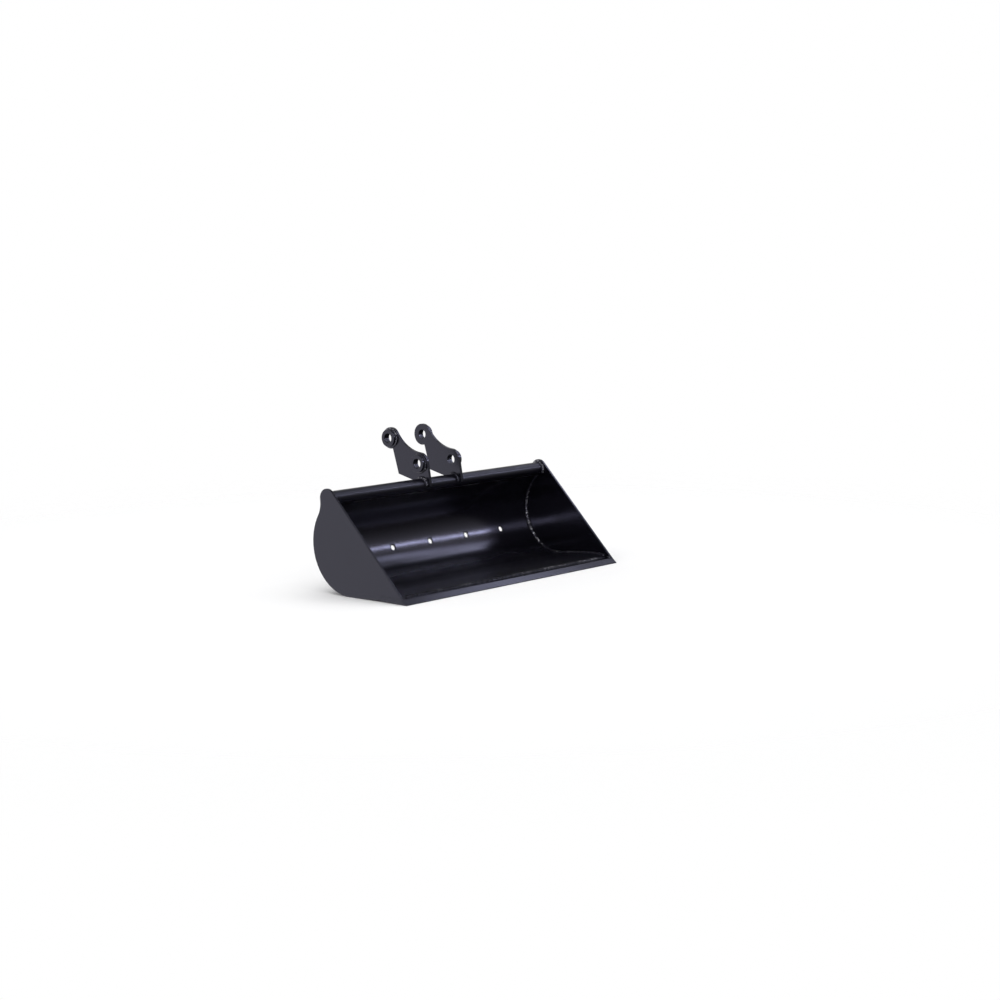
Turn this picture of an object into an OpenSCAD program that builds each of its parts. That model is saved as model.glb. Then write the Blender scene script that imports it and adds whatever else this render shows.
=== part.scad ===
// Grading bucket: a wide, shallow welded trough with a rolled back, a top tube,
// a bevelled cutting edge under its front and a pair of hanger ears for two pins.
// X runs across the bucket, -Y to the open mouth, +Z up.
// The bucket stands on its cutting edge and on the heels of its side plates.

/* [Overall] */
// Width over the outer faces of the side plates
bucket_w = 800; // [600:10:1200]
// Radius of the round back of the side plates
back_r = 126; // [115:1:140]
// Length of the side plates' straight underside behind the cutting edge
floor_l = 105; // [90:1:130]
// Angle at which that underside rises to the cutting edge
floor_angle = 2.1; // [1.5:0.1:3]

/* [Plates] */
// Thickness of the rolled shell
shell_t = 4; // [3:0.5:5]
// How far the side plates stand proud of the shell's back
shell_rim = 3.5; // [3:0.5:6]
// Height of the shell's centre above the centre of the side plates' round back
shell_lift = 3; // [1:0.5:5]
// Thickness of the side plates
side_t = 6; // [4:0.5:10]
// Material of the side plate around the tube end
horn_edge = 7.5; // [6:0.5:12]
// Radius of the side plate's hollow neck behind the tube
neck_r = 63; // [50:1:80]

/* [Cutting edge] */
// Length of the cutting edge bar from its back to its nose
blade_l = 86; // [80:1:100]
// Thickness of the cutting edge bar
blade_t = 12; // [10:1:14]
// Distance from the nose to the shell's front edge on top of the bar
lip_back = 36; // [34:1:44]
// Angle of the bevel on top of the bar
bevel_angle = 35; // [32:1:42]
// Blunt height of the nose
nose_t = 2; // [1:0.5:4]

/* [Top tube] */
// Outer diameter of the tube
tube_d = 33.7; // [30:0.1:40]
// Wall of the tube
tube_wall = 3.2; // [2:0.1:5]
// Direction of the tube seen from the centre of the rolled back
tube_angle = 57; // [54:1:60]
// How far the tube's centre lies outside the rolled back
tube_out = 8; // [5:0.5:10]

/* [Drain holes] */
// Number of drain holes
drain_n = 5; // [3:1:7]
// Distance between drain holes
drain_pitch = 138; // [90:1:180]
// Diameter of a drain hole
drain_d = 14; // [8:1:20]
// Direction of the drain holes below the horizontal
drain_angle = 24; // [10:1:40]

/* [Hanger ears] */
// Clear gap between the two ears
ear_gap = 110; // [90:1:140]
// Thickness of an ear plate
ear_t = 8; // [8:1:16]
// Radius of the ear around each pin
ear_r = 28; // [26:1:36]
// Height of the ear's waist above the line between the pins
ear_waist = 14; // [8:1:20]
// Height of the stick pin above the tube's centre
stick_pin_up = 55; // [50:1:70]
// Distance of the stick pin behind the tube's centre
stick_pin_back = 9; // [0:1:20]
// Distance between the two pins
pin_centres = 120; // [110:1:140]
// Angle at which the line of the pins rises to the back
pin_angle = 30; // [20:1:40]
// Diameter of the pins that the bores take
pin_d = 25; // [20:1:30]
// Outer diameter of a pin boss
boss_d = 46; // [40:1:50]
// Length of a pin boss outside its ear
boss_t = 10; // [6:1:16]

/* [Welds] */
// Leg of the fillet welds
weld_leg = 6; // [4:0.5:7]
// Leg of the bead in front of the shell, on top of the cutting edge
seam_leg = 6; // [4:0.5:8]
// Leg of the beads outside the shell, along the rims of the side plates
rim_weld_leg = 3; // [2:0.5:3.5]
// Leg of the small fillet round each boss
boss_weld_leg = 4; // [2:0.5:4]

/* [Hidden] */
$fn = 96;

paint = [0.07, 0.07, 0.085];
weld_paint = [0.12, 0.12, 0.14];

// Running clearance of a pin in its bore, on the diameter
pin_clear = 0.3;
// Overrun of the cutting bodies past the faces they cut
over = 1;
// Depth by which a straight edge runs into the round that it blends with
blend = 0.1;
// Gap between the end of one bead and the start of the next
run_gap = 1;
// Sides of the large rounds
round_sides = 180;
// Height of a bead's crown as a share of its leg
crown_share = 0.62;

// Foot of an ear: how far it hooks over the front of the tube
foot_t = 10;
foot_drop = 3;
foot_h = 12;
// Back corner of an ear, from the tube's centre
tail_back = 85;
tail_up = 23;
// Where the underside of an ear turns down into its leg
knee_back = 28;
knee_up = 9;
// Leg of an ear down the rolled back
leg_t = 15;
leg_end_angle = 15;
leg_taper_angle = 5;

function dir(a) = [cos(a), sin(a)];
function unit(v) = v / norm(v);
function bearing(v) = atan2(v.y, v.x);

// Side plates: round back and straight underside
back_c = [0, back_r];
rim_heel = back_c + back_r * dir(-90 - floor_angle);
bar_heel = rim_heel + floor_l * [-cos(floor_angle), sin(floor_angle)];

// Cutting edge: its underside runs down from the side plates' underside to the ground
blade_drop = asin(bar_heel.y / blade_l);
blade_dir = [-cos(blade_drop), -sin(blade_drop)];
blade_up = [-sin(blade_drop), cos(blade_drop)];
bevel_l = (blade_t - nose_t) / tan(bevel_angle);
nose = bar_heel + blade_l * blade_dir;
nose_top = nose + nose_t * blade_up;
bar_crest = bar_heel + blade_t * blade_up;

// Shell: rolled back, floor that rises to the back of the bar, and lip along its top
shell_r = back_r - shell_rim;
shell_in_r = shell_r - shell_t;
shell_c = back_c + [0, shell_lift];
heel_a = bearing(bar_crest - shell_c) + acos(shell_r / norm(bar_crest - shell_c));
floor_rise = -90 - heel_a;
floor_up = -dir(heel_a);
floor_dir = [-cos(floor_rise), sin(floor_rise)];
heel = shell_c + shell_r * dir(heel_a);
heel_in = heel + shell_t * floor_up;
fold_a = floor_rise + blade_drop;
fold_in = bar_crest + shell_t / cos(fold_a / 2) * unit(floor_up + blade_up);
lip_end = bar_crest + (blade_l - lip_back) * blade_dir;
lip_top = lip_end + shell_t * blade_up;

// Top tube
tube_r = tube_d / 2;
tube_c = back_c + (back_r + tube_out) * dir(tube_angle);
tube_span = norm(tube_c - shell_c);
tube_a = bearing(tube_c - shell_c);

// Half angle, seen from the shell's centre, at which radius r meets the tube
function meet_half(r) =
    acos((pow(tube_span, 2) + pow(r, 2) - pow(tube_r, 2)) / (2 * tube_span * r));
meet_in_a = tube_a - meet_half(shell_in_r);
meet_out_a = tube_a - meet_half(shell_r);
meet_in = shell_c + shell_in_r * dir(meet_in_a);
meet_out = shell_c + shell_r * dir(meet_out_a);
tube_in_a = bearing(meet_in - tube_c);
tube_out_a = bearing(meet_out - tube_c);
tube_leg_a = asin(weld_leg / tube_r);
shell_leg_a = asin(weld_leg / shell_r);

// Horn of the side plate round the tube and the hollow neck under it
horn_r = tube_r + horn_edge;
neck_along = (pow(back_r + tube_out, 2) + pow(back_r + neck_r, 2) - pow(horn_r + neck_r, 2))
    / (2 * (back_r + tube_out));
neck_across = sqrt(pow(back_r + neck_r, 2) - pow(neck_along, 2));
neck_c = back_c + neck_along * dir(tube_angle) + neck_across * dir(tube_angle - 90);
neck_low = back_c + back_r * unit(neck_c - back_c);
neck_high = tube_c + horn_r * unit(neck_c - tube_c);

// Straight front edge of the side plate, from the nose to the horn
front_span = norm(tube_c - nose);
front_a = bearing(tube_c - nose) + asin(horn_r / front_span);
front_top = nose + sqrt(pow(front_span, 2) - pow(horn_r, 2)) * dir(front_a);

// Pins and ears
stick_pin = tube_c + [stick_pin_back, stick_pin_up];
link_pin = stick_pin + pin_centres * dir(pin_angle);
pin_bore_r = (pin_d + pin_clear) / 2;
half_pins = pin_centres / 2;
waist_r = (pow(half_pins, 2) + pow(ear_waist, 2) - pow(ear_r, 2)) / (2 * (ear_r - ear_waist));
waist_c = stick_pin + half_pins * dir(pin_angle) + (waist_r + ear_waist) * dir(pin_angle + 90);
foot_low = tube_c + [-tube_r - foot_t, -foot_drop];
foot_high = foot_low + [0, foot_h];
foot_span = norm(stick_pin - foot_high);
foot_edge_a = bearing(stick_pin - foot_high) + asin((ear_r - blend) / foot_span);
foot_tangent = foot_high + foot_span * cos(foot_edge_a - bearing(stick_pin - foot_high)) * dir(foot_edge_a);
tail = tube_c + [tail_back, tail_up];
knee = tube_c + [knee_back, knee_up];
leg_top_a = leg_end_angle + leg_taper_angle;
leg_corner = shell_c + (shell_r + leg_t) * dir(leg_top_a);
leg_toe = shell_c + shell_r * dir(leg_end_angle);
leg_root = shell_c + shell_in_r * dir(leg_end_angle);

// Positions across the bucket
inner_x = bucket_w / 2 - side_t;
ear_in_x = ear_gap / 2;
ear_out_x = ear_in_x + ear_t;

// Origin under the middle of the whole bucket
mid_y = (nose_top.x + link_pin.x + ear_r) / 2;

// Extrudes an outline drawn in Y and Z from x0 over a length along X
module along_x(x0, length) {
    translate([x0, -mid_y, 0])
        rotate([90, 0, 90])
            linear_extrude(length) children();
}

// Sweeps a section of radius and X about a line along X through a centre
module around_x(centre, from_a, to_a) {
    translate([0, centre.x - mid_y, centre.y])
        rotate([90, 0, 90])
            rotate([0, 0, from_a])
                rotate_extrude(angle = to_a - from_a) children();
}

// Runs a section of X and height from a point over a length, at a slope to the mouth
module forward(start, slope, length) {
    translate([0, start.x - mid_y, start.y])
        rotate([90 - slope, 0, 0])
            linear_extrude(length) children();
}

module at(p) {
    translate(p) children();
}

module mirrored(side) {
    scale([side, 1, 1]) children();
}

// Part of the disc that the shell is rolled round, from its heel up to the tube
module shell_disc() {
    intersection() {
        at(shell_c) circle(shell_r, $fn = round_sides);
        polygon([
            shell_c,
            shell_c + 2 * shell_r * dir(heel_a),
            shell_c + 2 * shell_r * dir(-45),
            shell_c + 2 * shell_r * dir(0),
            shell_c + 2 * shell_r * dir(tube_a)
        ]);
    }
}

module tube_disc() {
    at(tube_c) circle(tube_r);
}

module shell_outline() {
    difference() {
        union() {
            at(shell_c) circle(shell_r, $fn = round_sides);
            polygon([shell_c, lip_top, lip_end, bar_crest, heel + blend * floor_up]);
        }
        at(shell_c) circle(shell_in_r, $fn = round_sides);
        polygon([
            heel_in,
            fold_in,
            lip_top,
            lip_top + 2 * back_r * floor_dir,
            shell_c + 4 * back_r * dir(tube_a + 45),
            shell_c + 2 * back_r * dir(tube_a),
            shell_c
        ]);
        tube_disc();
    }
}

module blade_outline() {
    polygon([
        bar_crest,
        nose + blade_t * blade_up - bevel_l * blade_dir,
        nose_top,
        nose,
        bar_heel
    ]);
}

module side_outline() {
    front_in = dir(front_a + 90);
    difference() {
        union() {
            at(back_c) circle(back_r, $fn = round_sides);
            at(tube_c) circle(horn_r);
            polygon([nose, bar_heel, rim_heel, back_c, neck_low, neck_c, neck_high, tube_c, front_top]);
        }
        at(neck_c) circle(neck_r, $fn = round_sides);
        polygon([
            nose,
            front_top,
            front_top + front_span * dir(front_a),
            front_top + front_span * (dir(front_a) + front_in),
            nose + front_span * front_in
        ]);
        blade_outline();
    }
}

module ear_outline() {
    difference() {
        union() {
            at(stick_pin) circle(ear_r);
            at(link_pin) circle(ear_r);
            polygon([
                tube_c,
                meet_in,
                leg_root,
                leg_toe,
                leg_corner,
                knee,
                tail,
                link_pin,
                link_pin + ear_r * unit(waist_c - link_pin),
                waist_c,
                stick_pin + ear_r * unit(waist_c - stick_pin),
                stick_pin,
                foot_tangent,
                foot_high,
                foot_low,
                tube_c - [tube_r, foot_drop]
            ]);
        }
        at(waist_c) circle(waist_r + blend, $fn = round_sides);
        tube_disc();
        shell_disc();
    }
}

// Section of a fillet bead in a corner at the origin, with legs along both axes
module bead(leg) {
    polygon([[0, 0], [leg, 0], [crown_share * leg, crown_share * leg], [0, leg]]);
}

module pin_bores(x0, length) {
    for (p = [stick_pin, link_pin])
        along_x(x0 - over, length + 2 * over)
            at(p) circle(pin_bore_r);
}

module shell() {
    color(paint)
        difference() {
            along_x(-inner_x, 2 * inner_x) shell_outline();
            for (i = [0 : drain_n - 1])
                translate([(i - (drain_n - 1) / 2) * drain_pitch, shell_c.x - mid_y, shell_c.y])
                    rotate([-90 - drain_angle, 0, 0])
                        translate([0, 0, shell_in_r - shell_t])
                            cylinder(h = 3 * shell_t, d = drain_d);
        }
}

module side_plate(side) {
    color(paint)
        mirrored(side)
            along_x(inner_x, side_t) side_outline();
}

module top_tube() {
    color(paint)
        along_x(-inner_x, 2 * inner_x)
            at(tube_c)
                difference() {
                    circle(tube_r);
                    circle(tube_r - tube_wall);
                }
}

module cutting_edge() {
    color(paint)
        along_x(-bucket_w / 2, bucket_w) blade_outline();
}

module hanger_ear(side) {
    color(paint)
        mirrored(side)
            difference() {
                along_x(ear_in_x, ear_t) ear_outline();
                pin_bores(ear_in_x, ear_t);
            }
}

module pin_boss(side, p) {
    color(paint)
        mirrored(side)
            along_x(ear_out_x, boss_t)
                at(p)
                    difference() {
                        circle(d = boss_d);
                        circle(pin_bore_r);
                    }
}

// Beads inside the corner of shell and side plate: round the back, along the floor and along the lip
module side_weld(side) {
    color(weld_paint)
        mirrored(side)
            difference() {
                union() {
                    around_x(shell_c, heel_a, tube_a)
                        translate([shell_in_r, inner_x]) rotate(180) bead(weld_leg);
                    forward(heel_in + run_gap * floor_dir, floor_rise, norm(fold_in - heel_in) - run_gap)
                        translate([inner_x, 0]) rotate(90) bead(weld_leg);
                    forward(fold_in + run_gap * blade_dir, -blade_drop, norm(lip_top - fold_in) - run_gap)
                        translate([inner_x, 0]) rotate(90) bead(weld_leg);
                }
                along_x(inner_x - weld_leg - over, weld_leg + 2 * over) tube_disc();
            }
}

// Beads outside the shell, no higher than the rim of a side plate: down the back and under the floor
module rim_weld(side) {
    color(weld_paint)
        mirrored(side) {
            intersection() {
                around_x(shell_c, heel_a, meet_out_a - shell_leg_a)
                    translate([shell_r, inner_x]) rotate(-90) bead(rim_weld_leg);
                along_x(inner_x - rim_weld_leg - over, rim_weld_leg + 2 * over)
                    at(back_c) circle(back_r, $fn = round_sides);
            }
            forward(heel + run_gap * floor_dir, floor_rise, norm(bar_crest - heel) - weld_leg - 2 * run_gap)
                translate([inner_x, 0]) rotate(180) bead(rim_weld_leg);
        }
}

// Bead along the shell's front edge, on top of the cutting edge
module blade_seam_weld() {
    toe = seam_leg * blade_dir;
    color(weld_paint)
        along_x(-inner_x, 2 * inner_x)
            polygon([lip_end, lip_top, lip_end + crown_share * (toe + lip_top - lip_end), lip_end + toe]);
}

// Bead under the floor, along the back of the cutting edge
module blade_back_weld() {
    down = -weld_leg * blade_up;
    back = -weld_leg * floor_dir;
    color(weld_paint)
        along_x(-inner_x, 2 * inner_x)
            polygon([bar_crest, bar_crest + down, bar_crest + crown_share * (down + back), bar_crest + back]);
}

// Bead between the top of the cutting edge and the inside of a side plate
module blade_weld(side) {
    start = lip_end + (seam_leg + run_gap) * blade_dir;
    color(weld_paint)
        mirrored(side)
            forward(start, -blade_drop, lip_back - bevel_l - seam_leg - run_gap)
                translate([inner_x, 0]) rotate(90) bead(weld_leg);
}

// Bead round the end of the tube, clear of the shell's edge
module tube_weld(side) {
    color(weld_paint)
        mirrored(side)
            around_x(tube_c, tube_out_a + tube_leg_a, tube_in_a + 360 - 2 * tube_leg_a)
                translate([tube_r, inner_x]) rotate(-90) bead(weld_leg);
}

module tube_seam_weld_inside() {
    run = inner_x - weld_leg;
    color(weld_paint)
        along_x(-run, 2 * run)
            difference() {
                polygon([
                    meet_in + shell_t / 2 * dir(meet_in_a),
                    tube_c + tube_r * dir(tube_in_a - tube_leg_a),
                    shell_c + shell_in_r * dir(meet_in_a - shell_leg_a),
                    shell_c + (shell_in_r + shell_t / 2) * dir(meet_in_a - shell_leg_a)
                ]);
                shell_outline();
                tube_disc();
            }
}

module tube_seam_weld_back() {
    ear_clear = ear_out_x + weld_leg;
    between = ear_in_x - weld_leg;
    runs = [
        [-inner_x, inner_x - ear_clear],
        [-between, 2 * between],
        [ear_clear, inner_x - ear_clear]
    ];
    color(weld_paint)
        for (r = runs)
            along_x(r[0], r[1])
                difference() {
                    polygon([
                        meet_out,
                        shell_c + shell_r * dir(meet_out_a - shell_leg_a),
                        tube_c + tube_r * dir(tube_out_a + tube_leg_a)
                    ]);
                    shell_outline();
                    tube_disc();
                }
}

// Beads on both faces of an ear, over the tube and down the rolled back
module ear_weld(side) {
    color(weld_paint)
        mirrored(side) {
            for (face = [[ear_out_x, 1], [ear_in_x, -1]]) {
                around_x(tube_c, tube_out_a + tube_leg_a, 180 + asin(foot_drop / tube_r))
                    translate([tube_r, face[0]]) scale([1, face[1]]) bead(weld_leg);
                around_x(shell_c, leg_top_a, meet_out_a - shell_leg_a)
                    translate([shell_r, face[0]]) scale([1, face[1]]) bead(weld_leg);
            }
        }
}

module boss_welds() {
    color(weld_paint)
        for (side = [-1, 1])
            for (p = [stick_pin, link_pin])
                mirrored(side)
                    around_x(p, 0, 360)
                        translate([boss_d / 2, ear_out_x]) bead(boss_weld_leg);
}

shell();
side_plate(-1);  // side_plate_left
side_plate(1);  // side_plate_right
top_tube();
cutting_edge();
hanger_ear(-1);  // hanger_ear_left
hanger_ear(1);  // hanger_ear_right
pin_boss(-1, stick_pin);  // stick_boss_left
pin_boss(1, stick_pin);  // stick_boss_right
pin_boss(-1, link_pin);  // link_boss_left
pin_boss(1, link_pin);  // link_boss_right
side_weld(-1);  // side_weld_left
side_weld(1);  // side_weld_right
rim_weld(-1);  // rim_weld_left
rim_weld(1);  // rim_weld_right
blade_seam_weld();
blade_back_weld();
blade_weld(-1);  // blade_weld_left
blade_weld(1);  // blade_weld_right
tube_weld(-1);  // tube_weld_left
tube_weld(1);  // tube_weld_right
tube_seam_weld_inside();
tube_seam_weld_back();
ear_weld(-1);  // ear_weld_left
ear_weld(1);  // ear_weld_right
boss_welds();
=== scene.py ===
import bisect
import math
import random

import bmesh
import bpy
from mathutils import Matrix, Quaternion, Vector, noise


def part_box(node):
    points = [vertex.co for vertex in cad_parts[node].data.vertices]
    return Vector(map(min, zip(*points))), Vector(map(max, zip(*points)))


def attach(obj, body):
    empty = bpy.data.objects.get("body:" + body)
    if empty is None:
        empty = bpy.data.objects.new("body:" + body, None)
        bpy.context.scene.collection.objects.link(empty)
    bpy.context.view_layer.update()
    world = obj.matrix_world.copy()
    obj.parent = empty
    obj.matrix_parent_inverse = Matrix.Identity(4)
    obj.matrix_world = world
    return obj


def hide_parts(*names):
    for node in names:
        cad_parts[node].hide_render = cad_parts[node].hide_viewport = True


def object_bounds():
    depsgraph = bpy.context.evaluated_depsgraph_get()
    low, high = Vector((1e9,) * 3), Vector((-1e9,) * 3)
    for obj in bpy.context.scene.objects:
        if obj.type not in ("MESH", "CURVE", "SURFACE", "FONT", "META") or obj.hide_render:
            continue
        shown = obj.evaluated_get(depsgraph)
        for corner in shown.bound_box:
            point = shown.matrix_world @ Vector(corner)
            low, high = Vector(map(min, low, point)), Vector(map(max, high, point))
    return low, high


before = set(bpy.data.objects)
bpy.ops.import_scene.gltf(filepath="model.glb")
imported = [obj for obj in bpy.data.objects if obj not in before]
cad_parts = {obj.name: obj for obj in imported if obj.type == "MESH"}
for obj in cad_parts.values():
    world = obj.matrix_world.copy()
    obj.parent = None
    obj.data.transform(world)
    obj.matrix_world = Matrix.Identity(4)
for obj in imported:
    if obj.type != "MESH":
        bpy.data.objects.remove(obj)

cadLow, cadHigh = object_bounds()
mm = 0.001

# Camera of the reference picture, solved from the bucket's outline
cameraSettings = {
    "place": (-3.7739, -3.5582, 0.8786),
    "aim": (0.0745, -0.0817, 0.1954),
    "roll": -0.79,  # degrees
    "lens": 72.82,
    "sensor": 36.0,
}


def placeCamera(settings):
    data = bpy.data.cameras.new("studioCamera")
    data.lens = settings["lens"]
    data.sensor_width = settings["sensor"]
    camera = bpy.data.objects.new("studioCamera", data)
    bpy.context.scene.collection.objects.link(camera)
    place = Vector(settings["place"])
    facing = (Vector(settings["aim"]) - place).to_track_quat("-Z", "Y")
    camera.rotation_mode = "QUATERNION"
    camera.location = place
    camera.rotation_quaternion = facing @ Quaternion((0, 0, 1), math.radians(settings["roll"]))
    bpy.context.scene.camera = camera


placeCamera(cameraSettings)
print("camera placed")


# Points of the cross section are 2-D vectors: x is the bucket's Y, y its Z
def polar(centre, radius, degrees):
    turn = math.radians(degrees)
    return centre + radius * Vector((math.cos(turn), math.sin(turn)))


def heading(degrees):
    return polar(Vector((0, 0)), 1, degrees)


def bearing(vector):
    return math.degrees(math.atan2(vector.y, vector.x))


def across(x, point):
    return Vector((x, point.x, point.y))


def spread(start, end, step):
    # even places from start to end, no further apart than the step
    count = max(1, math.ceil(abs(end - start) / step))
    return [start + (end - start) * i / count for i in range(count + 1)]


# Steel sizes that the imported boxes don't give
steel = {
    "rollRadius": 122.5 * mm,  # outside of the rolled shell
    "plateRadius": 126 * mm,  # round back of the side plates
    "sheet": 4 * mm,
    "bar": 12 * mm,
    "barDrop": 2.62,  # degrees by which the bar dips to its nose
    "barBevel": 14.28 * mm,
}
sheet = steel["sheet"]
shellLow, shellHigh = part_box("shell")
tubeLow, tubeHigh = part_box("top_tube")
barLow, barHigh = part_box("cutting_edge")
innerX = shellHigh.x

rollOut = steel["rollRadius"]
rollIn = rollOut - sheet
rollCentre = Vector((shellHigh.y - rollOut, shellLow.z + rollOut))
plateCentre = Vector((rollCentre.x, cadLow.z + steel["plateRadius"]))
tubeRadius = (tubeHigh.z - tubeLow.z) / 2
tubeCentre = Vector((tubeLow.y + tubeRadius, tubeLow.z + tubeRadius))

# The shell's lip lies on the bar, from the bar's crest forward
barForward = heading(180 + steel["barDrop"])
barUp = heading(90 + steel["barDrop"])
barCrest = Vector((barHigh.y + steel["bar"] * barUp.x, barHigh.z))
lipRun = (shellLow.y - sheet * barUp.x - barCrest.x) / barForward.x
lipEnd = barCrest + lipRun * barForward
noseRun = (barLow.y - barCrest.x) / barForward.x

# The floor runs straight from the heel of the roll to the crest
toCrest = barCrest - rollCentre
heelAngle = bearing(toCrest) + math.degrees(math.acos(rollOut / toCrest.length))
floorUp = -heading(heelAngle)
floorForward = heading(heelAngle - 90)
heel = polar(rollCentre, rollOut, heelAngle)
floorRun = (barCrest - heel).length


def tubeMeeting(radius):
    # direction, from the roll's centre, in which a radius of the sheet runs into the tube
    span = (tubeCentre - rollCentre).length
    share = (span ** 2 + radius ** 2 - tubeRadius ** 2) / (2 * span * radius)
    return bearing(tubeCentre - rollCentre) - math.degrees(math.acos(share))


meetIn = tubeMeeting(rollIn)
meetOut = tubeMeeting(rollOut)


# Shader helpers
def newGroup(name, inputs, outputs):
    group = bpy.data.node_groups.new(name, "ShaderNodeTree")
    for label, value in inputs.items():
        socket = group.interface.new_socket(name=label, in_out="INPUT", socket_type="NodeSocketFloat")
        socket.default_value = value
    for label in outputs:
        group.interface.new_socket(name=label, in_out="OUTPUT", socket_type="NodeSocketFloat")
    return group, group.nodes.new("NodeGroupInput"), group.nodes.new("NodeGroupOutput")


def addNode(tree, kind, links=None, **settings):
    # links gives each input a socket to come from or a plain value
    node = tree.nodes.new(kind)
    for key, value in settings.items():
        setattr(node, key, value)
    for socket, source in (links or {}).items():
        if isinstance(source, bpy.types.NodeSocket):
            tree.links.new(source, node.inputs[socket])
        else:
            node.inputs[socket].default_value = source
    return node


def maths(tree, operation, first, second=0.0, clamp=False):
    node = addNode(tree, "ShaderNodeMath", {0: first, 1: second}, operation=operation, use_clamp=clamp)
    return node.outputs[0]


def remap(tree, value, fromLow, fromHigh, toLow=0.0, toHigh=1.0):
    limits = {"From Min": fromLow, "From Max": fromHigh, "To Min": toLow, "To Max": toHigh}
    node = addNode(tree, "ShaderNodeMapRange", {"Value": value, **limits}, interpolation_type="SMOOTHSTEP")
    return node.outputs["Result"]


def blend(tree, share, under, over):
    # sockets 6, 7 and 2 of a colour mix are A, B and the result
    return addNode(tree, "ShaderNodeMix", {0: share, 6: under, 7: over}, data_type="RGBA").outputs[2]


def noiseOf(tree, scale, detail, roughness):
    place = addNode(tree, "ShaderNodeTexCoord").outputs["Object"]
    links = {"Vector": place, "Scale": scale, "Detail": detail, "Roughness": roughness}
    return addNode(tree, "ShaderNodeTexNoise", links).outputs["Fac"]


# Effects shared by the paints. A noise is scale, detail and roughness. A range is the noise values between
# which a mask sets in, followed by the mask's own limits where they aren't 0 and 1.
peelEffect = {"peel": (420.0, 1.5, 0.5), "swell": (9.0, 1.0, 0.5)}


def orangePeelGroup():
    # fine dimples of sprayed gloss over a slow swell of the plate
    group, entry, result = newGroup("orangePeel", {"Peel": 1.0, "Swell": 1.0}, ["Height"])
    peel = maths(group, "MULTIPLY", noiseOf(group, *peelEffect["peel"]), entry.outputs["Peel"])
    swell = maths(group, "MULTIPLY", noiseOf(group, *peelEffect["swell"]), entry.outputs["Swell"])
    group.links.new(maths(group, "ADD", peel, swell), result.inputs["Height"])
    return group


thinEdgeEffect = {
    "spots": (160.0, 4.0, 0.65),
    "spotRange": (0.48, 0.64),
    "patches": (8.0, 2.0, 0.5),
    "patchRange": (0.44, 0.58),
}


def thinEdgeGroup():
    # paint worn thin in spots along the rounded edges and on bead crests
    group, entry, result = newGroup("thinEdge", {"Amount": 0.5}, ["Mask"])
    edge = addNode(group, "ShaderNodeAttribute", attribute_name="edge").outputs["Fac"]
    spots = remap(group, noiseOf(group, *thinEdgeEffect["spots"]), *thinEdgeEffect["spotRange"])
    patches = remap(group, noiseOf(group, *thinEdgeEffect["patches"]), *thinEdgeEffect["patchRange"])
    worn = maths(group, "MULTIPLY", maths(group, "MULTIPLY", spots, patches), edge)
    group.links.new(maths(group, "MULTIPLY", worn, entry.outputs["Amount"], True), result.inputs["Mask"])
    return group


dustEffect = {
    "upRange": (0.2, 1.0),  # of the normal's Z
    "clouds": (14.0, 5.0, 0.6),
    "cloudRange": (0.4, 0.7, 0.3, 1.0),
    "specks": (900.0, 2.0, 0.7),
    "speckRange": (0.45, 0.65, 0.4, 1.0),
}


def settledDustGroup():
    # pale dust on what faces up, thin and cloudy
    group, entry, result = newGroup("settledDust", {"Amount": 0.1}, ["Mask"])
    normal = addNode(group, "ShaderNodeNewGeometry").outputs["Normal"]
    upward = addNode(group, "ShaderNodeSeparateXYZ", {0: normal}).outputs["Z"]
    clouds = remap(group, noiseOf(group, *dustEffect["clouds"]), *dustEffect["cloudRange"])
    specks = remap(group, noiseOf(group, *dustEffect["specks"]), *dustEffect["speckRange"])
    cover = maths(group, "MULTIPLY", remap(group, upward, *dustEffect["upRange"]), clouds)
    cover = maths(group, "MULTIPLY", cover, specks)
    group.links.new(maths(group, "MULTIPLY", cover, entry.outputs["Amount"], True), result.inputs["Mask"])
    return group


toneEffect = {
    "clouds": (7.0, 3.0, 0.55),
    "fine": (260.0, 2.0, 0.5),
    "fineShare": 0.2,
    "range": (0.35, 0.65),
}


def sprayToneGroup():
    # slow changes of gloss where the spray coat lies thicker or thinner
    group, entry, result = newGroup("sprayTone", {"Low": 0.2, "High": 0.26}, ["Value"])
    share = toneEffect["fineShare"]
    clouds = maths(group, "MULTIPLY", noiseOf(group, *toneEffect["clouds"]), 1 - share)
    fine = maths(group, "MULTIPLY", noiseOf(group, *toneEffect["fine"]), share)
    limits = entry.outputs["Low"], entry.outputs["High"]
    value = remap(group, maths(group, "ADD", clouds, fine), *toneEffect["range"], *limits)
    group.links.new(value, result.inputs["Value"])
    return group


groups = {
    "peel": orangePeelGroup(),
    "thin": thinEdgeGroup(),
    "dust": settledDustGroup(),
    "tone": sprayToneGroup(),
}

# Gloss black with a violet cast; each paint changes only what differs
paintDefaults = {
    "color": (0.0022, 0.002, 0.0036, 1),
    "thinColor": (0.055, 0.053, 0.062, 1),
    "dustColor": (0.23, 0.22, 0.21, 1),
    "specularTint": (0.76, 0.75, 1.0, 1),
    "ior": 1.56,
    "gloss": (0.19, 0.25),  # roughness, between its lowest and highest
    "peel": 0.25,
    "swell": 0.6,
    "bump": 0.12,
    "thin": 0.5,
    "dust": 0.0,
    "dustRoughness": 1.6,  # roughness added by full dust
    "scuff": 0.0,  # roughness added where the mesh is marked as scuffed
    "bare": 0.0,  # share of bare steel where the paint is thin
}


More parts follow.
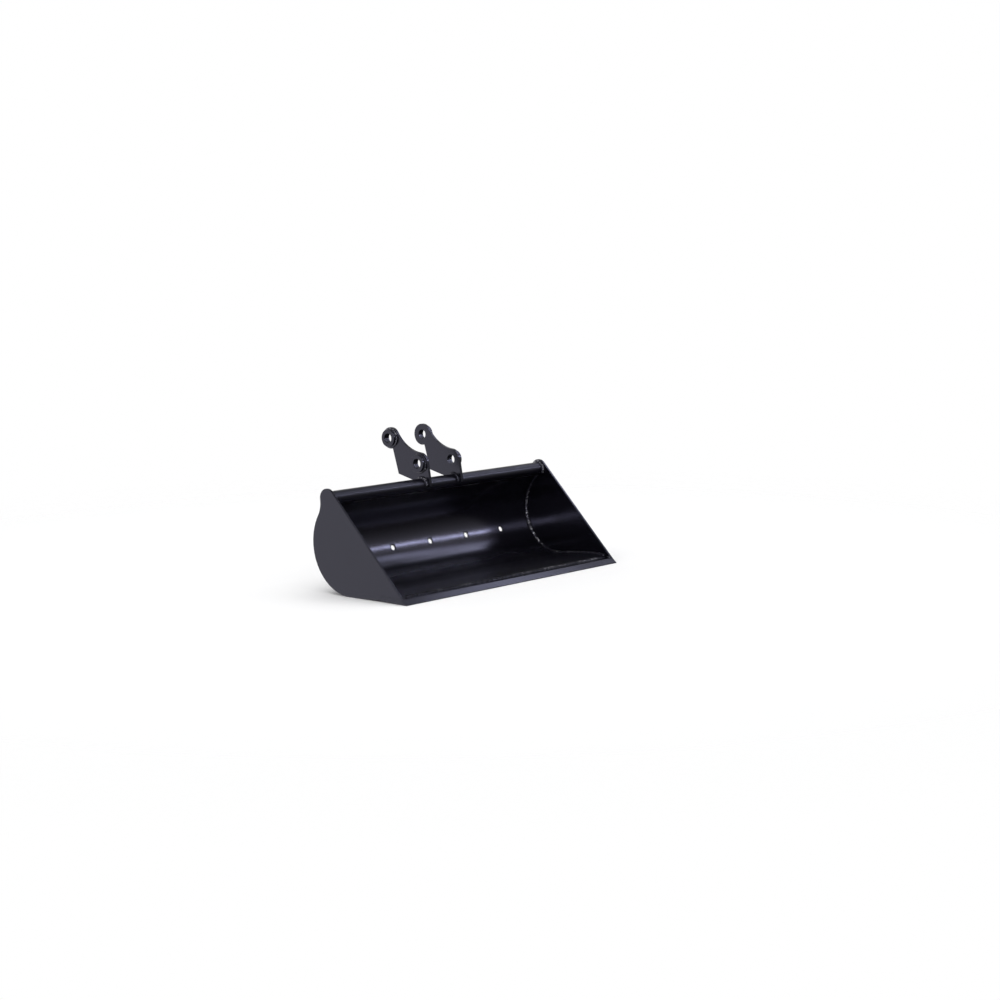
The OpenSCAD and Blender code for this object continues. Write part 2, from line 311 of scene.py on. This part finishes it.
def paint(name, **changes):
    values = {**paintDefaults, **changes}
    material = bpy.data.materials.new(name)
    material.use_nodes = True
    tree = material.node_tree
    tree.nodes.clear()

    def effect(kind, **amounts):
        return addNode(tree, "ShaderNodeGroup", amounts, node_tree=groups[kind]).outputs[0]

    low, high = values["gloss"]
    tone = effect("tone", Low=low, High=high)
    thin = effect("thin", Amount=values["thin"])
    dust = effect("dust", Amount=values["dust"])
    peel = effect("peel", Peel=values["peel"], Swell=values["swell"])
    scuffMark = addNode(tree, "ShaderNodeAttribute", attribute_name="scuff").outputs["Fac"]
    color = blend(tree, dust, blend(tree, thin, values["color"], values["thinColor"]), values["dustColor"])
    roughness = maths(tree, "ADD", tone, maths(tree, "MULTIPLY", scuffMark, values["scuff"]))
    dusty = maths(tree, "MULTIPLY", dust, values["dustRoughness"])
    bumpLinks = {"Height": peel, "Strength": values["bump"], "Distance": mm}
    shader = addNode(tree, "ShaderNodeBsdfPrincipled", {
        "Base Color": color,
        "Roughness": maths(tree, "ADD", roughness, dusty, True),
        "Metallic": maths(tree, "MULTIPLY", thin, values["bare"]),
        "Normal": addNode(tree, "ShaderNodeBump", bumpLinks).outputs["Normal"],
        "IOR": values["ior"],
        "Specular Tint": values["specularTint"],
    })
    addNode(tree, "ShaderNodeOutputMaterial", {"Surface": shader.outputs["BSDF"]})
    return material


platePaint = paint("platePaint")
shellPaint = paint("shellPaint", dust=0.004, swell=0.12, gloss=(0.18, 0.21), scuff=0.14)
tubePaint = paint("tubePaint", gloss=(0.34, 0.4), swell=0.3)
barPaint = paint("barPaint", thin=0.6, gloss=(0.17, 0.22), swell=0.2, peel=0.15)
earPaint = paint("earPaint")
beadLook = {"peel": 0.4, "swell": 0.0, "thin": 1.0, "bare": 1.0, "thinColor": (0.6, 0.6, 0.64, 1)}
beadPaint = paint("beadPaint", gloss=(0.17, 0.25), **beadLook)
# duller, where soil rubs over the bead
seamPaint = paint("seamPaint", gloss=(0.26, 0.36), ior=1.3, **beadLook)
print("paints mixed")


# Mesh helpers
def bridge(shape, first, second, closed=False):
    # faces between two lines of vertices
    count = len(first)
    for i in range(count if closed else count - 1):
        j = (i + 1) % count
        shape.faces.new((first[i], first[j], second[j], second[i]))


def finishPiece(shape, name, material, sharpAngle):
    bmesh.ops.recalc_face_normals(shape, faces=shape.faces)
    for face in shape.faces:
        face.smooth = True
    for edge in shape.edges:
        edge.smooth = not (edge.is_manifold and edge.calc_face_angle() > math.radians(sharpAngle))
    mesh = bpy.data.meshes.new(name)
    shape.to_mesh(mesh)
    shape.free()
    mesh.materials.append(material)
    piece = bpy.data.objects.new(name, mesh)
    bpy.context.scene.collection.objects.link(piece)
    return piece


def seat(piece, slot, *nodes):
    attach(piece, "root")
    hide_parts(*nodes)


# Drain holes in the rolled back, and the mesh round them
drainHoles = {
    "count": 5,
    "pitch": 138 * mm,
    "radius": 7 * mm,
    "angle": -24,  # degrees below the horizontal through the roll's centre
    "patch": 13 * mm,  # half width of the mesh patch round a hole
    "cells": 12,
    "softening": 0.7 * mm,
    "softRings": 3,
}
shellMesh = {
    "rowStep": 1.05,  # degrees
    "floorStep": 20 * mm,
    "columnStep": 22 * mm,
    "foldSteps": 4,
    "foldSpread": 0.02 * mm,
    "scuffFrom": (-50, -80),  # directions between which the scuffs set in
    "sharpAngle": 50,
}


def shellRows():
    # pairs of outer and inner points from the tube round the back and along the floor to the lip
    tilt = math.degrees(math.asin(drainHoles["patch"] / rollIn))
    top, bottom = drainHoles["angle"] + tilt, drainHoles["angle"] - tilt
    patchRows = []
    for i in range(drainHoles["cells"] + 1):
        offset = drainHoles["patch"] * (1 - 2 * i / drainHoles["cells"])
        patchRows.append(drainHoles["angle"] + math.degrees(math.asin(offset / rollIn)))
    above = spread(meetIn, top, shellMesh["rowStep"])
    below = spread(bottom, heelAngle, shellMesh["rowStep"])
    angles = above[:-1] + patchRows + below[1:]
    rows = [(polar(rollCentre, rollOut, a), polar(rollCentre, rollIn, a)) for a in angles]
    rows[0] = (polar(rollCentre, rollOut, meetOut), rows[0][1])
    firstPatchRow = len(above) - 1
    for distance in spread(0, floorRun, shellMesh["floorStep"])[1:-1]:
        point = heel + distance * floorForward
        rows.append((point, point + sheet * floorUp))
    foldFrom, foldTo = bearing(floorUp), bearing(barUp)
    for i in range(shellMesh["foldSteps"] + 1):
        up = heading(foldFrom + (foldTo - foldFrom) * i / shellMesh["foldSteps"])
        rows.append((barCrest + shellMesh["foldSpread"] * i * barForward, barCrest + sheet * up))
    for distance in spread(0, lipRun, shellMesh["floorStep"])[1:]:
        point = barCrest + distance * barForward
        rows.append((point, point + sheet * barUp))
    return rows, firstPatchRow


def shellColumns():
    places, firstPatchColumns = [-innerX], []
    half, cells = drainHoles["patch"], drainHoles["cells"]
    for i in range(drainHoles["count"]):
        centre = (i - (drainHoles["count"] - 1) / 2) * drainHoles["pitch"]
        places += spread(places[-1], centre - half, shellMesh["columnStep"])[1:]
        firstPatchColumns.append(len(places) - 1)
        places += [centre - half + 2 * half * j / cells for j in range(1, cells + 1)]
    places += spread(places[-1], innerX, shellMesh["columnStep"])[1:]
    return places, firstPatchColumns


def scuffAt(point):
    # full on the floor and the lip, none above the foot of the roll
    turn = bearing(point - rollCentre)
    clear, full = shellMesh["scuffFrom"]
    return 1.0 if point.x < rollCentre.x else min(max((clear - turn) / (clear - full), 0.0), 1.0)


def holePoint(centreX, turn, radius, depth):
    # a point on the hole's own cylinder, at a depth below the sheet's inner face
    x, offset = radius * math.cos(turn), radius * math.sin(turn)
    level = rollIn + depth
    angle = drainHoles["angle"] + math.degrees(math.asin(offset / level))
    return across(centreX + x, polar(rollCentre, level, angle))


def holeProfile():
    # radius and depth down the hole, with softened rims
    soft, steps = drainHoles["softening"], drainHoles["softRings"]
    profile = []
    for i in range(steps + 1):
        turn = math.pi / 2 * i / steps
        profile.append((drainHoles["radius"] + soft * (1 - math.sin(turn)), soft * (1 - math.cos(turn))))
    return profile + [(radius, sheet - depth) for radius, depth in reversed(profile)]


def buildShell():
    rows, patchRow = shellRows()
    columns, patchColumns = shellColumns()
    cells = drainHoles["cells"]
    shape = bmesh.new()
    edgeMark = shape.verts.layers.float.new("edge")
    scuffMark = shape.verts.layers.float.new("scuff")

    def inPatch(row, column, margin):
        # margin 1 asks for points strictly inside a patch, margin 0 for its cells
        return any(
            patchRow + margin <= row < patchRow + cells and start + margin <= column < start + cells
            for start in patchColumns
        )

    faces = [[], []]
    for side in (0, 1):
        for r, pair in enumerate(rows):
            line = []
            for c, x in enumerate(columns):
                vertex = None
                if not inPatch(r, c, 1):
                    vertex = shape.verts.new(across(x, pair[side]))
                    vertex[scuffMark] = scuffAt(pair[1])
                line.append(vertex)
            faces[side].append(line)
        for r in range(len(rows) - 1):
            for c in range(len(columns) - 1):
                if not inPatch(r, c, 0):
                    a, b = faces[side][r], faces[side][r + 1]
                    shape.faces.new((a[c], a[c + 1], b[c + 1], b[c]))
    bridge(shape, faces[0][0], faces[1][0])
    bridge(shape, faces[0][-1], faces[1][-1])
    for c in (0, -1):
        bridge(shape, [line[c] for line in faces[0]], [line[c] for line in faces[1]])

    for start in patchColumns:
        centreX = (columns[start] + columns[start + cells]) / 2
        border = [(patchRow, start + i) for i in range(cells)]
        border += [(patchRow + i, start + cells) for i in range(cells)]
        border += [(patchRow + cells, start + cells - i) for i in range(cells)]
        border += [(patchRow + cells - i, start) for i in range(cells)]
        turns = []
        for r, c in border:
            offset = drainHoles["patch"] * (1 - 2 * (r - patchRow) / cells)
            turns.append(math.atan2(offset, columns[c] - centreX))
        rings = []
        for radius, depth in holeProfile():
            rings.append([shape.verts.new(holePoint(centreX, t, radius, depth)) for t in turns])
            for vertex in rings[-1]:
                vertex[edgeMark] = 1.0
        for side, rim, depth in ((1, rings[0], 0), (0, rings[-1], sheet)):
            middle = []
            for t in turns:
                borderRadius = drainHoles["patch"] / max(abs(math.cos(t)), abs(math.sin(t)))
                radius = (borderRadius + drainHoles["radius"] + drainHoles["softening"]) / 2
                middle.append(shape.verts.new(holePoint(centreX, t, radius, depth)))
            bridge(shape, [faces[side][r][c] for r, c in border], middle, True)
            bridge(shape, middle, rim, True)
        for first, second in zip(rings, rings[1:]):
            bridge(shape, first, second, True)
    seat(finishPiece(shape, "rolledShell", shellPaint, shellMesh["sharpAngle"]), "black_paint", "shell")


buildShell()
print("shell rolled")

# Plates, tube, bar, ears and bosses: name, radius of the edges and paint
platePieces = {
    "side_plate_left": ("sidePlateLeft", 0.7 * mm, platePaint),
    "side_plate_right": ("sidePlateRight", 0.7 * mm, platePaint),
    "top_tube": ("topTube", 0.5 * mm, tubePaint),
    "cutting_edge": ("cuttingEdge", 0.6 * mm, barPaint),
    "hanger_ear_left": ("hangerEarLeft", 0.8 * mm, earPaint),
    "hanger_ear_right": ("hangerEarRight", 0.8 * mm, earPaint),
    "stick_boss_left": ("stickBossLeft", 1.0 * mm, earPaint),
    "stick_boss_right": ("stickBossRight", 1.0 * mm, earPaint),
    "link_boss_left": ("linkBossLeft", 1.0 * mm, earPaint),
    "link_boss_right": ("linkBossRight", 1.0 * mm, earPaint),
}
softening = {
    "merge": 0.002 * mm,
    "flat": 0.3,  # degrees within which faces are one
    "corner": 28,  # degrees above which an edge is rounded
    "rings": 3,
    "sharpAngle": 50,
}


def softened(node, name, radius, material):
    shape = bmesh.new()
    shape.from_mesh(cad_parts[node].data)
    bmesh.ops.remove_doubles(shape, verts=shape.verts, dist=softening["merge"])
    flat, corner = math.radians(softening["flat"]), math.radians(softening["corner"])
    bmesh.ops.dissolve_limit(shape, angle_limit=flat, verts=shape.verts, edges=shape.edges)
    edgeMark = shape.loops.layers.float.new("edge")
    rounded = bmesh.ops.bevel(
        shape, geom=[e for e in shape.edges if e.is_manifold and e.calc_face_angle() > corner],
        offset=radius, offset_type="OFFSET", segments=softening["rings"],
        profile=0.5, affect="EDGES", clamp_overlap=True,
    )
    for face in rounded["faces"]:
        for loop in face.loops:
            loop[edgeMark] = 1.0
    piece = finishPiece(shape, name, material, softening["sharpAngle"])
    weighted = piece.modifiers.new("flatShading", "WEIGHTED_NORMAL")
    weighted.keep_sharp = True
    seat(piece, "black_paint", node)


for node, (name, radius, material) in platePieces.items():
    softened(node, name, radius, material)
print("plates softened")

# Weld beads: overlapping ripples on a crowned fillet
beadSettings = {
    "leg": 6 * mm,
    "rimLeg": 3 * mm,
    "rimRoom": 0.3 * mm,  # kept free between a rim bead and the plate's rim
    "bossLeg": 4 * mm,
    "pitch": 4.4 * mm,  # from ripple to ripple
    "pitchSpread": 0.3,
    "sizes": (0.55, 1.25),  # of the ripples
    "height": 0.7 * mm,
    "sharpness": 0.75,  # power of the ripple's wave
    "toeShare": 0.25,  # height of a ripple that is left at its toes
    "crown": 0.13,  # rise of the face over its chord, as a share of the chord
    "lag": 1.9 * mm,  # by how much a ripple trails at its toes
    "wobble": 0.16,
    "swings": ((9 * mm, 3.7, 0.5), (40 * mm, 1.3, 4.5)),  # length, then where it is taken from the noise
    "endSize": 0.55,
    "endRun": 0.6,  # in chords, over which a bead grows from its end
    "samples": 7,  # rings in a ripple
    "strips": 10,  # strips across the face
    "sink": 0.12 * mm,
    "lineStep": 2 * mm,
    "startTurn": 0.6,  # degrees between the tube and the start of the inside run
    "gap": 1 * mm,  # between the end of a run and the start of the next
    "wear": 0.9,  # how far the crests show bare steel
    "floorWear": 0.15,
    "seamWear": 0.55,
    "sharpAngle": 70,
}
leg = beadSettings["leg"]
gap = beadSettings["gap"]
wear = beadSettings["wear"]
floorWear = beadSettings["floorWear"]
stationStep = beadSettings["pitch"] / beadSettings["samples"]


def rippledBead(shape, stations, seed, closed, wear):
    # stations are triples: the corner, the toe on the first plate and the toe on the second
    pick = random.Random(seed)
    runs = [0.0]
    for before, after in zip(stations, stations[1:]):
        runs.append(runs[-1] + (after[1] - before[1]).length)
    pitch = beadSettings["pitch"]
    marks, sizes = [-2 * pitch], []
    while marks[-1] < runs[-1] + 2 * pitch:
        marks.append(marks[-1] + pitch * (1 + beadSettings["pitchSpread"] * pick.uniform(-1, 1)))
        sizes.append(pick.uniform(*beadSettings["sizes"]))
    edgeMark = shape.verts.layers.float.get("edge")
    strips, endSize, toeShare = beadSettings["strips"], beadSettings["endSize"], beadSettings["toeShare"]
    rings = []
    for run, (corner, toeA, toeB) in zip(runs, stations):
        outward = ((toeA - corner).normalized() + (toeB - corner).normalized()).normalized()
        chord = (toeB - toeA).length
        grow = 1 + beadSettings["wobble"] * sum(
            noise.noise(Vector((run / length, seed * shift, level)))
            for length, shift, level in beadSettings["swings"]
        )
        if not closed:
            room = min(min(run, runs[-1] - run) / (beadSettings["endRun"] * chord), 1.0)
            grow *= endSize + (1 - endSize) * math.sqrt(1 - (1 - room) ** 2)
        base = corner - beadSettings["sink"] * outward
        ring = [shape.verts.new(base)]
        for j in range(strips + 1):
            share = j / strips
            arch = math.sin(math.pi * share)
            place = run + beadSettings["lag"] * (2 * share - 1) ** 2
            k = min(bisect.bisect_right(marks, place) - 1, len(sizes) - 1)
            part = (place - marks[k]) / (marks[k + 1] - marks[k])
            ripple = abs(math.sin(math.pi * part)) ** beadSettings["sharpness"] * sizes[k]
            rise = beadSettings["crown"] * chord * arch
            rise += beadSettings["height"] * ripple * (toeShare + (1 - toeShare) * arch)
            chordPoint = base + grow * ((toeA - corner) * (1 - share) + (toeB - corner) * share)
            vertex = shape.verts.new(chordPoint + outward * rise * grow)
            vertex[edgeMark] = ripple * arch * wear
            ring.append(vertex)
        rings.append(ring)
    for first, second in zip(rings, rings[1:]):
        bridge(shape, first, second, True)
    if closed:
        bridge(shape, rings[-1], rings[0], True)
    else:
        shape.faces.new(rings[0])
        shape.faces.new(rings[-1])


# A line is a list of points of the cross section with the way from the sheet at each
def resampled(line, step):
    runs = [0.0]
    for (a, _), (b, _) in zip(line, line[1:]):
        runs.append(runs[-1] + (b - a).length)
    count = max(2, round(runs[-1] / step))
    points = []
    for i in range(count + 1):
        place = runs[-1] * i / count
        k = min(max(bisect.bisect_right(runs, place) - 1, 0), len(line) - 2)
        share = (place - runs[k]) / (runs[k + 1] - runs[k])
        point = line[k][0].lerp(line[k + 1][0], share)
        normal = line[k][1].lerp(line[k + 1][1], share).normalized()
        points.append((point, normal))
    return points


def arcLine(centre, radius, start, end, outward=1):
    # a point at each degree
    step = math.copysign(1.0, end - start)
    angles = [start + step * i for i in range(int(abs(end - start)))] + [end]
    return [(polar(centre, radius, a), outward * heading(a)) for a in angles]


def straightLine(origin, forward, up, start, end):
    return [(origin + d * forward, up) for d in spread(start, end, beadSettings["lineStep"])]


# A run is its stations, whether it closes on itself, and its wear
def cornerRun(line, x, side, size=leg, room=None, wear=wear, closed=False):
    # along a plate that stands across X; side is the way in which the bead lies from the plate,
    # room gives the height of plate that it may cover
    stations = []
    for point, normal in resampled(line, stationStep):
        rise = min(size, room(point)) if room else size
        stations.append((across(x, point), across(x, point + rise * normal), across(x + side * size, point)))
    return stations[:-1] if closed else stations, closed, wear


def seamRun(start, end, corner, toeA, toeB, wear=wear):
    # straight along X
    places = spread(start, end, stationStep)
    return [(across(x, corner), across(x, toeA), across(x, toeB)) for x in places], False, wear


def addBead(name, runs, *nodes, coat=beadPaint):
    shape = bmesh.new()
    shape.verts.layers.float.new("edge")
    for i, (stations, closed, wear) in enumerate(runs):
        seed = len(name) * 7 + i * 3 + ord(name[-1])  # another for each run
        rippledBead(shape, stations, seed, closed, wear)
    seat(finishPiece(shape, name, coat, beadSettings["sharpAngle"]), "painted_weld", *nodes)


def rimRoom(point):
    # height of a side plate's rim over the outside of the shell
    return steel["plateRadius"] - (point - plateCentre).length - beadSettings["rimRoom"]


tubeLegTurn = math.degrees(math.asin(leg / tubeRadius))
sheetLegTurn = math.degrees(math.asin(leg / rollOut))
tubeIn = bearing(polar(rollCentre, rollIn, meetIn) - tubeCentre)
tubeOut = bearing(polar(rollCentre, rollOut, meetOut) - tubeCentre)

rollLine = arcLine(rollCentre, rollIn, meetIn - beadSettings["startTurn"], heelAngle, -1)
floorLine = straightLine(heel + sheet * floorUp, floorForward, floorUp, gap, floorRun)
lipLine = straightLine(barCrest + sheet * barUp, barForward, barUp, gap, lipRun)
rimLine = arcLine(rollCentre, rollOut, meetOut - sheetLegTurn, heelAngle)
rimLine += straightLine(heel, floorForward, -floorUp, 0, floorRun)[1:]
rimLine = [(point, normal) for point, normal in rimLine if rimRoom(point) > 0]
barTopLine = straightLine(lipEnd, barForward, barUp, leg + gap, noseRun - lipRun - steel["barBevel"])
tubeEndLine = arcLine(tubeCentre, tubeRadius, tubeOut + tubeLegTurn, tubeIn + 360 - 2 * tubeLegTurn)

for word, side in (("Left", -1), ("Right", 1)):
    ending = word.lower()
    plate = (side * innerX, -side)
    insideRuns = [
        cornerRun(rollLine, *plate),
        cornerRun(floorLine, *plate, wear=floorWear),
        cornerRun(lipLine, *plate, wear=floorWear),
    ]
    rimRun = cornerRun(rimLine, *plate, beadSettings["rimLeg"], rimRoom)
    addBead("sideWeld" + word, insideRuns, "side_weld_" + ending)
    addBead("rimWeld" + word, [rimRun], "rim_weld_" + ending)
    addBead("barWeld" + word, [cornerRun(barTopLine, *plate, wear=floorWear)], "blade_weld_" + ending)
    addBead("tubeWeld" + word, [cornerRun(tubeEndLine, *plate)], "tube_weld_" + ending)

lipToes = (lipEnd + sheet * barUp, lipEnd + leg * barForward)
lipRuns = [seamRun(-innerX, innerX, lipEnd, *lipToes, beadSettings["seamWear"])]
addBead("lipSeamWeld", lipRuns, "blade_seam_weld", coat=seamPaint)

barBackToes = (barCrest - leg * barUp, barCrest - leg * floorForward)
addBead("barBackWeld", [seamRun(-innerX, innerX, barCrest, *barBackToes)], "blade_back_weld")

insideCorner = polar(rollCentre, rollIn, meetIn)
insideToes = (
    polar(tubeCentre, tubeRadius, tubeIn - tubeLegTurn),
    polar(rollCentre, rollIn, meetIn - sheetLegTurn),
)
tubeRuns = [seamRun(leg - innerX, innerX - leg, insideCorner, *insideToes)]
addBead("tubeSeamWeldInside", tubeRuns, "tube_seam_weld_inside")

earLow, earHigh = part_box("hanger_ear_right")
backCorner = polar(rollCentre, rollOut, meetOut)
backToes = (
    polar(rollCentre, rollOut, meetOut - sheetLegTurn),
    polar(tubeCentre, tubeRadius, tubeOut + tubeLegTurn),
)
backSpans = [(-innerX, -earHigh.x - leg), (leg - earLow.x, earLow.x - leg), (earHigh.x + leg, innerX)]
backRuns = [seamRun(start, end, backCorner, *backToes) for start, end in backSpans]
addBead("tubeSeamWeldBack", backRuns, "tube_seam_weld_back")

# Ears: beads on both faces, over the tube and down the back; rings round the bosses
earSettings = {
    "legTop": 20,  # degrees, upper end of the leg's taper on the rolled back
    "footDrop": 3 * mm,
}
footTurn = 180 + math.degrees(math.asin(earSettings["footDrop"] / tubeRadius))
earTubeLine = arcLine(tubeCentre, tubeRadius, tubeOut + tubeLegTurn, footTurn)
earBackLine = arcLine(rollCentre, rollOut, earSettings["legTop"], meetOut - sheetLegTurn)
for word, side in (("Left", -1), ("Right", 1)):
    earRuns = []
    for face, away in ((earHigh.x, 1), (earLow.x, -1)):
        for line in (earTubeLine, earBackLine):
            earRuns.append(cornerRun(line, side * face, side * away))
    addBead("earWeld" + word, earRuns, "ear_weld_" + word.lower())

bossRuns = []
for boss in ("stick_boss", "link_boss"):
    for ending, side in (("_left", -1), ("_right", 1)):
        low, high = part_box(boss + ending)
        centre = Vector(((low.y + high.y) / 2, (low.z + high.z) / 2))
        line = arcLine(centre, (high.z - low.z) / 2, 0, 360)
        bossRuns.append(cornerRun(line, side * earHigh.x, side, beadSettings["bossLeg"], closed=True))
addBead("bossWelds", bossRuns, "boss_welds")
print("beads laid")

# Pale floor that fades into a white room
studio = {
    "floorSize": 40.0,
    "floorColor": (0.9, 0.9, 0.905, 1),
    "floorRoughness": 0.8,
    "floorFade": (0.8, 2.4),  # distances between which the floor fades out
    # brightness of the room by elevation, as the gloss mirrors it
    "frontLevels": (
        (-30, 0.03), (-8, 0.12), (3, 0.3), (13, 0.55), (19, 0.9), (32, 0.5), (50, 0.12), (90, 0.1)
    ),
    "backLevels": ((-30, 1.1), (0, 1.1), (20, 0.9), (50, 0.45), (90, 0.2)),
    "backWay": (-0.74, 0.66),  # X and Y of the way in which the back levels take over
    "backBlend": (-0.35, 0.45),
    "lightAim": (0, 0, 0.1),
    "distance": 4.0,
}
# Place is azimuth from the mouth towards +X and elevation, in degrees; size in metres; power in watts
softBoxes = {
    "stripLight": {"place": (51, 23.0), "size": (0.95, 0.14), "power": 11.5, "color": (0.76, 0.79, 1.0)},
    "boxLight": {"place": (70, 39.5), "size": (1.5, 0.45), "power": 6.5, "color": (0.76, 0.79, 1.0)},
    "bevelLight": {"place": (91, 43), "size": (1.3, 0.5), "power": 4.2, "color": (0.76, 0.79, 1.0)},
    "flashLight": {"place": (-50, 24), "size": (0.45, 0.7), "power": 42.0, "color": (1.0, 1.0, 1.0)},
}
overhead = {"height": 5.0, "size": (8.0, 8.0), "power": 335.0, "color": (1.0, 1.0, 1.0)}


def buildFloor():
    half = studio["floorSize"] / 2
    square = ((-half, -half), (half, -half), (half, half), (-half, half))
    shape = bmesh.new()
    shape.faces.new([shape.verts.new((x, y, cadLow.z)) for x, y in square])
    material = bpy.data.materials.new("paleFloor")
    material.use_nodes = True
    tree = material.node_tree
    shader = tree.nodes["Principled BSDF"]
    shader.inputs["Base Color"].default_value = studio["floorColor"]
    shader.inputs["Roughness"].default_value = studio["floorRoughness"]
    shader.inputs["Specular IOR Level"].default_value = 0.0
    place = addNode(tree, "ShaderNodeTexCoord").outputs["Object"]
    away = addNode(tree, "ShaderNodeVectorMath", {0: place}, operation="LENGTH").outputs["Value"]
    tree.links.new(remap(tree, away, *studio["floorFade"], 1.0, 0.0), shader.inputs["Alpha"])
    mesh = bpy.data.meshes.new("studioFloor")
    shape.to_mesh(mesh)
    shape.free()
    mesh.materials.append(material)
    floor = bpy.data.objects.new("studioFloor", mesh)
    bpy.context.scene.collection.objects.link(floor)
    floor.visible_glossy = False


def areaLight(name, way, distance, settings):
    data = bpy.data.lights.new(name, "AREA")
    data.shape = "RECTANGLE"
    data.size, data.size_y = settings["size"]
    data.energy = settings["power"]
    data.color = settings["color"]
    light = bpy.data.objects.new(name, data)
    light.location = Vector(studio["lightAim"]) + way * distance
    light.rotation_mode = "QUATERNION"
    light.rotation_quaternion = (-way).to_track_quat("-Z", "Y")
    light.visible_camera = False
    bpy.context.scene.collection.objects.link(light)
    return light


def buildLights():
    # the soft boxes are there for the gloss, the light overhead for the floor
    for name, settings in softBoxes.items():
        azimuth, elevation = (math.radians(degrees) for degrees in settings["place"])
        level = math.cos(elevation)
        way = Vector((math.sin(azimuth) * level, -math.cos(azimuth) * level, math.sin(elevation)))
        areaLight(name, way, studio["distance"], settings).visible_diffuse = False
    areaLight("overheadLight", Vector((0, 0, 1)), overhead["height"], overhead).visible_glossy = False


def levelRamp(tree, rise, levels):
    # rise goes from 0 straight down to 1 straight up
    ramp = addNode(tree, "ShaderNodeValToRGB", {"Fac": rise})
    stops = ramp.color_ramp.elements
    while len(stops) < len(levels):
        stops.new(0.5)
    for stop, (elevation, level) in zip(stops, levels):
        stop.position = (elevation + 90) / 180
        stop.color = (level, level, level, 1)
    return ramp.outputs["Color"]


def buildRoom():
    # plain white to the camera, graded by elevation to everything else
    world = bpy.data.worlds.new("whiteRoom")
    bpy.context.scene.world = world
    world.use_nodes = True
    tree = world.node_tree
    tree.nodes.clear()
    way = addNode(tree, "ShaderNodeTexCoord").outputs["Generated"]
    parts = addNode(tree, "ShaderNodeSeparateXYZ", {0: way}).outputs
    angle = maths(tree, "ARCSINE", parts["Z"])
    rise = maths(tree, "ADD", maths(tree, "DIVIDE", angle, math.pi), 0.5)
    backX, backY = studio["backWay"]
    sideways = maths(tree, "MULTIPLY", parts["X"], backX)
    behind = maths(tree, "ADD", sideways, maths(tree, "MULTIPLY", parts["Y"], backY))
    front = levelRamp(tree, rise, studio["frontLevels"])
    back = levelRamp(tree, rise, studio["backLevels"])
    level = blend(tree, remap(tree, behind, *studio["backBlend"]), front, back)
    room = addNode(tree, "ShaderNodeBackground", {"Color": level}).outputs[0]
    plain = addNode(tree, "ShaderNodeBackground", {"Color": (1, 1, 1, 1)}).outputs[0]
    seen = addNode(tree, "ShaderNodeLightPath").outputs["Is Camera Ray"]
    mixed = addNode(tree, "ShaderNodeMixShader", {0: seen, 1: room, 2: plain}).outputs[0]
    addNode(tree, "ShaderNodeOutputWorld", {"Surface": mixed})


buildFloor()
buildLights()
buildRoom()
bpy.context.scene.view_settings.view_transform = "Standard"
print("studio lit")
